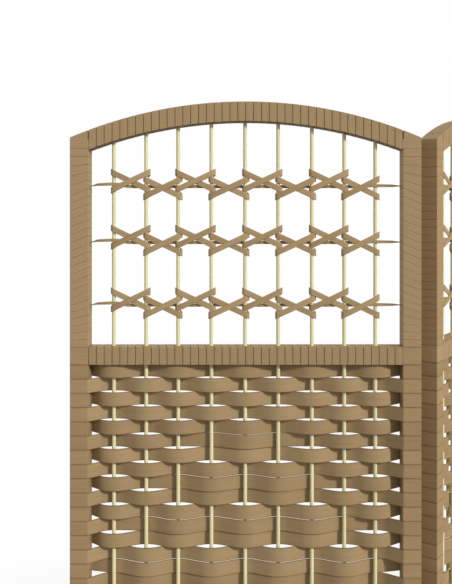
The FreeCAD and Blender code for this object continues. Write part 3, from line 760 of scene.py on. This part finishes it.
# Finishes. Noise layers of a fibre: repeats per metre along it and across it, and detail
FIBRE_LINES = 22, 1500, 3
FIBRE_STREAKS = 9, 430, 2
FIBRE_PATCHES = 17, 60, 2
LINE_SHARE = 0.4
STREAK_SHARE = 0.4
PATCH_SHARE = 0.2
LAYER_COARSENESS = 0.6
FIBRE_ROUGHNESS = 0.5
FIBRE_ROUGHNESS_SPREAD = 0.3
FIBRE_SHINE = 0.08
WOOD_RELIEF = 0.0005
FINE_RELIEF = 0.0001


def add_node(tree, kind, **values):
    """A node with some of its properties and inputs set."""
    node = tree.nodes.new(kind)
    for key, value in values.items():
        if key in node.inputs:
            node.inputs[key].default_value = value
        else:
            setattr(node, key, value)
    return node


def feed(tree, socket, value):
    """Sets a socket to a number or colour, or links another socket to it."""
    if isinstance(value, bpy.types.NodeSocket):
        tree.links.new(value, socket)
    else:
        socket.default_value = value


def math_node(tree, operation, *values):
    """One sum on numbers or sockets."""
    node = add_node(tree, "ShaderNodeMath", operation=operation)
    for socket, value in zip(node.inputs, values):
        feed(tree, socket, value)
    return node.outputs[0]


def mix_colours(tree, share, first, second):
    """A share from 0, the first colour, to 1, the second."""
    mix = add_node(tree, "ShaderNodeMix", data_type="RGBA", clamp_factor=True)
    tree.links.new(share, mix.inputs["Factor"])
    colours = [socket for socket in mix.inputs if socket.type == "RGBA"]
    for socket, colour in zip(colours, (first, second)):
        feed(tree, socket, colour)
    return next(socket for socket in mix.outputs if socket.type == "RGBA")


def scaled_noise(tree, place, scale, detail, coarseness):
    """Noise at a place, with its own scale on each axis."""
    scaled = add_node(tree, "ShaderNodeVectorMath", operation="MULTIPLY")
    feed(tree, scaled.inputs[0], place)
    feed(tree, scaled.inputs[1], scale)
    noise = add_node(tree, "ShaderNodeTexNoise", Scale=1.0)
    for name, value in (("Vector", scaled.outputs[0]), ("Detail", detail), ("Roughness", coarseness)):
        feed(tree, noise.inputs[name], value)
    return noise.outputs["Fac"]


def new_group(name, inputs, outputs):
    """An empty node group with named sockets."""
    group = bpy.data.node_groups.new(name, "ShaderNodeTree")
    for socket, kind, value in inputs:
        made = group.interface.new_socket(socket, in_out="INPUT", socket_type=kind)
        made.default_value = value
    for socket, kind in outputs:
        group.interface.new_socket(socket, in_out="OUTPUT", socket_type=kind)
    return group, group.nodes.new("NodeGroupInput"), group.nodes.new("NodeGroupOutput")


def fibre_group():
    """Fibres that run along a strand: fine lines, broad streaks, a tint per strand and painted shade at
    its edges, for the seams.
    """
    group, source, result = new_group(
        "strand_fibres",
        (
            ("Light", "NodeSocketColor", (1, 1, 1, 1)),
            ("Dark", "NodeSocketColor", (0, 0, 0, 1)),
            ("Fineness", "NodeSocketFloat", 1.0),
            ("Contrast", "NodeSocketFloat", 1.0),
            ("Tint Spread", "NodeSocketFloat", 0.2),
            ("Edge Shade", "NodeSocketFloat", 0.2),
            ("Edge Share", "NodeSocketFloat", 0.1),
        ),
        (
            ("Colour", "NodeSocketColor"),
            ("Height", "NodeSocketFloat"),
            ("Roughness", "NodeSocketFloat"),
        ),
    )
    stretch = add_node(group, "ShaderNodeCombineXYZ", X=1.0, Z=1.0)
    group.links.new(source.outputs["Fineness"], stretch.inputs["Y"])
    place = add_node(group, "ShaderNodeVectorMath", operation="MULTIPLY")
    group.links.new(add_node(group, "ShaderNodeTexCoord").outputs["UV"], place.inputs[0])
    group.links.new(stretch.outputs[0], place.inputs[1])
    lines, streaks, patches = (
        scaled_noise(group, place.outputs[0], (along, across, 1), detail, LAYER_COARSENESS)
        for along, across, detail in (FIBRE_LINES, FIBRE_STREAKS, FIBRE_PATCHES)
    )
    marks = add_node(group, "ShaderNodeVertexColor", layer_name="marks")
    parts = add_node(group, "ShaderNodeSeparateColor")
    group.links.new(marks.outputs["Color"], parts.inputs[0])
    value = math_node(group, "MULTIPLY", lines, LINE_SHARE)
    value = math_node(group, "MULTIPLY_ADD", streaks, STREAK_SHARE, value)
    value = math_node(group, "MULTIPLY_ADD", patches, PATCH_SHARE, value)
    value = math_node(group, "SUBTRACT", value, 0.5)
    value = math_node(group, "MULTIPLY", value, source.outputs["Contrast"])
    tint = math_node(group, "SUBTRACT", parts.outputs["Red"], 0.5)
    value = math_node(group, "MULTIPLY_ADD", tint, source.outputs["Tint Spread"], value)
    # Painted shade: each strand darkens towards its edges, where the seams and grooves between turns
    # and rows fall
    outward = math_node(group, "SUBTRACT", parts.outputs["Green"], 0.5)
    outward = math_node(group, "ABSOLUTE", outward)
    edge_start = math_node(group, "SUBTRACT", 0.5, source.outputs["Edge Share"])
    edge = add_node(group, "ShaderNodeMapRange", interpolation_type="SMOOTHSTEP")
    for name, setting in (("Value", outward), ("From Min", edge_start), ("From Max", 0.5)):
        feed(group, edge.inputs[name], setting)
    shade = math_node(group, "MULTIPLY", edge.outputs[0], source.outputs["Edge Shade"])
    value = math_node(group, "SUBTRACT", value, shade)
    value = math_node(group, "ADD", value, 0.5)
    colour = mix_colours(group, value, source.outputs["Dark"], source.outputs["Light"])
    height = math_node(group, "MULTIPLY", lines, 0.5)
    height = math_node(group, "MULTIPLY_ADD", streaks, 0.5, height)
    rough = math_node(group, "MULTIPLY_ADD", lines, FIBRE_ROUGHNESS_SPREAD, FIBRE_ROUGHNESS)
    group.links.new(colour, result.inputs["Colour"])
    group.links.new(height, result.inputs["Height"])
    group.links.new(rough, result.inputs["Roughness"])
    return group


def grain_group():
    """Two colours mixed by noise, which may be drawn out into wood grain or brushed lines."""
    group, source, result = new_group(
        "two_tone_grain",
        (
            ("Light", "NodeSocketColor", (1, 1, 1, 1)),
            ("Dark", "NodeSocketColor", (0, 0, 0, 1)),
            ("Scale", "NodeSocketVector", (1, 1, 1)),
            ("Detail", "NodeSocketFloat", 2.0),
            ("Coarseness", "NodeSocketFloat", 0.5),
        ),
        (("Colour", "NodeSocketColor"), ("Value", "NodeSocketFloat")),
    )
    place = add_node(group, "ShaderNodeTexCoord").outputs["Object"]
    scale, detail, coarseness = (source.outputs[name] for name in ("Scale", "Detail", "Coarseness"))
    value = scaled_noise(group, place, scale, detail, coarseness)
    colour = mix_colours(group, value, source.outputs["Dark"], source.outputs["Light"])
    group.links.new(colour, result.inputs["Colour"])
    group.links.new(value, result.inputs["Value"])
    return group


FIBRES = fibre_group()
GRAIN = grain_group()


def new_material(name):
    """A material with its shader."""
    material = bpy.data.materials.new(name)
    material.use_nodes = True
    tree = material.node_tree
    shader = tree.nodes["Principled BSDF"]
    return material, tree, shader


def add_relief(tree, shader, height, strength, depth):
    """Raises and lowers a surface by a height."""
    bump = add_node(tree, "ShaderNodeBump", Strength=strength, Distance=depth)
    tree.links.new(height, bump.inputs["Height"])
    tree.links.new(bump.outputs[0], shader.inputs["Normal"])


def fibre_material(name, relief, light, dark, **settings):
    """A finish of plant fibre. The settings are those of its node group."""
    material, tree, shader = new_material(name)
    fibres = add_node(tree, "ShaderNodeGroup", node_tree=FIBRES, Light=(*light, 1), Dark=(*dark, 1))
    for setting, value in settings.items():
        fibres.inputs[setting.replace("_", " ").title()].default_value = value
    tree.links.new(fibres.outputs["Colour"], shader.inputs["Base Color"])
    tree.links.new(fibres.outputs["Roughness"], shader.inputs["Roughness"])
    add_relief(tree, shader, fibres.outputs["Height"], relief, WOOD_RELIEF)
    shader.inputs["Specular IOR Level"].default_value = FIBRE_SHINE
    return material


def seam_shaded_timber_material():
    """Sawn timber with long grain along the uprights, darkened as painted shade for the seams it shows
    through.
    """
    material, tree, shader = new_material("seam_shaded_timber")
    # Painted shade: the timber is seen only in the seams between tapes, so its colours are darkened to
    # stand for their shade
    grain = add_node(
        tree, "ShaderNodeGroup", node_tree=GRAIN, Scale=(120, 120, 6), Detail=4.0, Coarseness=0.6,
        Light=(0.13, 0.08, 0.04, 1), Dark=(0.05, 0.028, 0.013, 1),
    )
    tree.links.new(grain.outputs["Colour"], shader.inputs["Base Color"])
    add_relief(tree, shader, grain.outputs["Value"], 0.3, WOOD_RELIEF)
    shader.inputs["Roughness"].default_value = 0.7
    return material


def hinge_material():
    """Brushed steel with faint upright lines and duller patches."""
    material, tree, shader = new_material("brushed_steel")
    brush = add_node(
        tree, "ShaderNodeGroup", node_tree=GRAIN, Scale=(2500, 2500, 40), Detail=2.0,
        Light=(0.66, 0.64, 0.60, 1), Dark=(0.42, 0.40, 0.37, 1),
    )
    patch = add_node(tree, "ShaderNodeGroup", node_tree=GRAIN, Scale=(90, 90, 90), Detail=3.0)
    rough = math_node(tree, "MULTIPLY_ADD", brush.outputs["Value"], 0.2, 0.18)
    rough = math_node(tree, "MULTIPLY_ADD", patch.outputs["Value"], 0.12, rough)
    tree.links.new(rough, shader.inputs["Roughness"])
    tree.links.new(brush.outputs["Colour"], shader.inputs["Base Color"])
    add_relief(tree, shader, brush.outputs["Value"], 0.15, FINE_RELIEF)
    shader.inputs["Metallic"].default_value = 1.0
    return material


def glide_material():
    """Moulded plastic with a fine matt texture and scuffs."""
    material, tree, shader = new_material("glide_plastic")
    pebble = add_node(tree, "ShaderNodeGroup", node_tree=GRAIN, Scale=(2600, 2600, 2600), Detail=2.0)
    scuff = add_node(
        tree, "ShaderNodeGroup", node_tree=GRAIN, Scale=(260, 260, 260), Detail=4.0,
        Light=(0.10, 0.075, 0.055, 1), Dark=(0.045, 0.032, 0.022, 1),
    )
    tree.links.new(scuff.outputs["Colour"], shader.inputs["Base Color"])
    rough = math_node(tree, "MULTIPLY_ADD", scuff.outputs["Value"], 0.3, 0.35)
    tree.links.new(rough, shader.inputs["Roughness"])
    add_relief(tree, shader, pebble.outputs["Value"], 0.2, FINE_RELIEF)
    return material


# Each fibre's edge setting darkens its strands' edges as painted shade in the seams between turns and
# rows
BAND_FIBRE = fibre_material(
    "band_fibre", relief=0.35, light=(0.425, 0.298, 0.158), dark=(0.25, 0.165, 0.08),
    fineness=0.6, contrast=1.0, tint_spread=0.25, edge_shade=0.9, edge_share=0.08,
)
TAPE_FIBRE = fibre_material(
    "tape_fibre", relief=0.3, light=(0.445, 0.311, 0.168), dark=(0.27, 0.177, 0.087),
    fineness=1.0, contrast=1.3, tint_spread=0.2, edge_shade=0.5, edge_share=0.08,
)
STILE_FIBRE = fibre_material(
    "stile_fibre", relief=0.3, light=(0.44, 0.308, 0.166), dark=(0.266, 0.175, 0.086),
    fineness=1.0, contrast=1.3, tint_spread=0.2, edge_shade=0.3, edge_share=0.06,
)
LATTICE_FIBRE = fibre_material(
    "lattice_fibre", relief=0.3, light=(0.46, 0.33, 0.172), dark=(0.29, 0.19, 0.09),
    fineness=1.2, contrast=1.3, tint_spread=0.3, edge_shade=0.35, edge_share=0.1,
)
UPRIGHT_WOOD = fibre_material(
    "upright_wood", relief=0.15, light=(0.77, 0.73, 0.45), dark=(0.62, 0.56, 0.30),
    fineness=0.5, contrast=1.1, tint_spread=0.2, edge_shade=0.0, edge_share=0.1,
)
SEAM_SHADED_TIMBER = seam_shaded_timber_material()
BRUSHED_STEEL = hinge_material()
GLIDE_PLASTIC = glide_material()

# Pieces of each panel: what makes it, its finish and its material slot
PIECES = {
    "woven_bands": (woven_bands, BAND_FIBRE, "fibre_band"),
    "arch_binding": (arch_winding, TAPE_FIBRE, "fibre_tape"),
    "mid_rail_binding": (straight_winding(WEAVE_TOP), TAPE_FIBRE, "fibre_tape"),
    "bottom_rail_binding": (straight_winding(BOTTOM_RAIL_Z), TAPE_FIBRE, "fibre_tape"),
    "stile_bindings": (stile_windings, STILE_FIBRE, "fibre_tape"),
    "rail_end_tapes": (rail_end_tapes, TAPE_FIBRE, "fibre_tape"),
    "corner_caps": (corner_caps, TAPE_FIBRE, "fibre_tape"),
    "lattice_tapes": (lattice_tapes, LATTICE_FIBRE, "fibre_tape"),
    "uprights": (uprights, UPRIGHT_WOOD, "upright_wood"),
}

# Hinged stiles: hinge line, panel, right (1) or left (-1) stile, back (1) or front (-1)
HINGED_STILES = (
    ("back", "left", 1, 1),
    ("back", "middle", -1, 1),
    ("front", "middle", 1, -1),
    ("front", "right", -1, -1),
)


def place_piece(node, mesh, panel, finish):
    """Puts a piece on its panel in place of its node."""
    mesh.materials.append(finish)
    piece = bpy.data.objects.new(f"{node}_dressed", mesh)
    bpy.context.scene.collection.objects.link(piece)
    piece.matrix_world = panel_place(panel)
    normals = piece.modifiers.new("flat_faces", "WEIGHTED_NORMAL")
    normals.keep_sharp = True
    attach(piece, f"{panel}_panel")
    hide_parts(node)


def dress_panel(panel, seed):
    """Makes the pieces of one panel where it stands."""
    for number, (node, (make, finish, slot)) in enumerate(PIECES.items()):
        made = make(random.Random(seed + number))
        mesh = made.mesh(node) if isinstance(made, Strands) else made
        place_piece(f"{panel}_{node}", mesh, panel, finish)
    for line, hinged_panel, hand, face in HINGED_STILES:
        if hinged_panel == panel:
            mesh = hinge_screws(f"{line}_hinge_leaves_{panel}", hand, face)
            place_piece(f"{line}_hinge_screws_{panel}", mesh, panel, BRUSHED_STEEL)


def ease_edges(node, width):
    """Rounds the edges of a metal or moulded piece a little."""
    weld = node.modifiers.new("joined_faces", "WELD")
    weld.merge_threshold = JOINED_REACH
    plain = node.modifiers.new("plain_faces", "DECIMATE")
    plain.decimate_type = "DISSOLVE"
    plain.angle_limit = PLAIN_FACE_ANGLE
    bevel = node.modifiers.new("eased_edges", "BEVEL")
    bevel.width = width
    bevel.segments = 2
    bevel.limit_method = "ANGLE"
    bevel.angle_limit = EASED_EDGE_ANGLE
    normals = node.modifiers.new("flat_faces", "WEIGHTED_NORMAL")
    normals.keep_sharp = True


def finish_frame():
    """Gives the timber, hinges and glides their finishes and eases their edges."""
    for name, node in frame["nodes"].items():
        if "hinge" in name:
            finish, ease = BRUSHED_STEEL, HINGE_EASE
        elif "glide" in name:
            finish, ease = GLIDE_PLASTIC, GLIDE_EASE
        else:
            finish, ease = SEAM_SHADED_TIMBER, None
        node.data.materials.clear()
        node.data.materials.append(finish)
        if ease:
            ease_edges(node, ease)


for number, panel in enumerate(PANELS):
    dress_panel(panel, PANEL_SEED * (number + 1))
finish_frame()


# Floor, light and camera
FLOOR_REACH = 30.0
FLOOR_SHADOW_REACH = 0.9
FLOOR_WHITE_FROM = 3.2
FLOOR_BOUNCE = (0.15, 0.15, 0.15, 1)
SIDE_LIGHT = 1.11
TOP_LIGHT = 0.12
EYE_SIDE = 0.0056
EYE_DISTANCE = 0.976
EYE_LEVEL = 1.6507


def white_to_eye(tree, plain, strength):
    """Mixes a plain shader with white where the camera or a mirror sees it, as far as strength says."""
    path = tree.nodes.new("ShaderNodeLightPath")
    seen = math_node(tree, "MAXIMUM", path.outputs["Is Camera Ray"], path.outputs["Is Glossy Ray"])
    seen = math_node(tree, "MAXIMUM", seen, path.outputs["Is Transmission Ray"])
    if strength is not None:
        seen = math_node(tree, "MULTIPLY", seen, strength)
    mix = tree.nodes.new("ShaderNodeMixShader")
    tree.links.new(seen, mix.inputs[0])
    tree.links.new(plain, mix.inputs[1])
    return mix


def make_floor():
    """A wide pale floor that keeps the shadow near the screen and turns white further out."""
    mesh = bpy.data.meshes.new("floor")
    corners = [(p * FLOOR_REACH, q * FLOOR_REACH, 0) for p, q in reversed(CORNERS)]
    mesh.from_pydata(corners, [], [(0, 1, 2, 3)])
    floor = bpy.data.objects.new("floor", mesh)
    bpy.context.scene.collection.objects.link(floor)
    material, tree, shader = new_material("pale_floor")
    cloud = add_node(
        tree, "ShaderNodeGroup", node_tree=GRAIN, Scale=(3, 3, 3), Detail=4.0,
        Light=(0.87, 0.87, 0.86, 1), Dark=(0.83, 0.83, 0.82, 1),
    )
    path = tree.nodes.new("ShaderNodeLightPath")
    thrown = mix_colours(tree, path.outputs["Is Diffuse Ray"], cloud.outputs["Colour"], FLOOR_BOUNCE)
    tree.links.new(thrown, shader.inputs["Base Color"])
    shader.inputs["Roughness"].default_value = 0.9
    shader.inputs["Specular IOR Level"].default_value = 0.1
    distance = add_node(tree, "ShaderNodeVectorMath", operation="LENGTH")
    tree.links.new(add_node(tree, "ShaderNodeTexCoord").outputs["Object"], distance.inputs[0])
    far = add_node(tree, "ShaderNodeMapRange", interpolation_type="SMOOTHSTEP")
    far.inputs["From Min"].default_value = FLOOR_SHADOW_REACH
    far.inputs["From Max"].default_value = FLOOR_WHITE_FROM
    tree.links.new(distance.outputs["Value"], far.inputs["Value"])
    mix = white_to_eye(tree, shader.outputs[0], far.outputs[0])
    white = add_node(tree, "ShaderNodeEmission", Color=(1, 1, 1, 1), Strength=1.0)
    tree.links.new(white.outputs[0], mix.inputs[2])
    tree.links.new(mix.outputs[0], tree.nodes["Material Output"].inputs["Surface"])
    mesh.materials.append(material)


def make_world():
    """Soft light all round, strongest from the sides, and a white background."""
    world = bpy.data.worlds.new("studio")
    bpy.context.scene.world = world
    world.use_nodes = True
    tree = world.node_tree
    plain = tree.nodes["Background"]
    plain.inputs["Color"].default_value = (1, 1, 1, 1)
    parts = tree.nodes.new("ShaderNodeSeparateXYZ")
    tree.links.new(add_node(tree, "ShaderNodeTexCoord").outputs["Generated"], parts.inputs[0])
    height = add_node(tree, "ShaderNodeMapRange")
    height.inputs["To Min"].default_value = SIDE_LIGHT
    height.inputs["To Max"].default_value = TOP_LIGHT
    tree.links.new(parts.outputs["Z"], height.inputs["Value"])
    tree.links.new(height.outputs[0], plain.inputs["Strength"])
    white = add_node(tree, "ShaderNodeBackground", Color=(1, 1, 1, 1), Strength=1.0)
    mix = white_to_eye(tree, plain.outputs[0], None)
    tree.links.new(white.outputs[0], mix.inputs[2])
    tree.links.new(mix.outputs[0], tree.nodes["World Output"].inputs["Surface"])


def make_sun(name, azimuth, elevation, strength, spread):
    """Soft parallel light. Azimuth counts from the front towards the right."""
    lamp = bpy.data.lights.new(name, "SUN")
    lamp.energy = strength
    lamp.angle = math.radians(spread)
    sun = bpy.data.objects.new(name, lamp)
    bpy.context.scene.collection.objects.link(sun)
    a, e = math.radians(azimuth), math.radians(elevation)
    towards = Vector((math.sin(a) * math.cos(e), -math.cos(a) * math.cos(e), math.sin(e)))
    sun.rotation_euler = towards.to_track_quat("Z", "Y").to_euler()


def make_camera():
    """The photograph's view: level, in front of the left panel's head."""
    frame_height = 584
    eye_pixels = 763
    middle_across, middle_down = 24, 74
    sight = panel_place("left").translation
    lens = bpy.data.cameras.new("camera")
    lens.sensor_width = 36
    lens.lens = lens.sensor_width * eye_pixels / frame_height
    lens.shift_x = -middle_across / frame_height
    lens.shift_y = -middle_down / frame_height
    camera = bpy.data.objects.new("camera", lens)
    bpy.context.scene.collection.objects.link(camera)
    camera.location = (sight.x + EYE_SIDE, sight.y - FRAME_HALF - EYE_DISTANCE, EYE_LEVEL)
    camera.rotation_euler = (math.pi / 2, 0, 0)
    bpy.context.scene.camera = camera


make_floor()
make_world()
make_sun("key_light", azimuth=50, elevation=25, strength=2.70, spread=7)
make_sun("back_light", azimuth=195, elevation=28, strength=0.55, spread=30)
make_camera()
bpy.context.scene.view_settings.view_transform = "Standard"
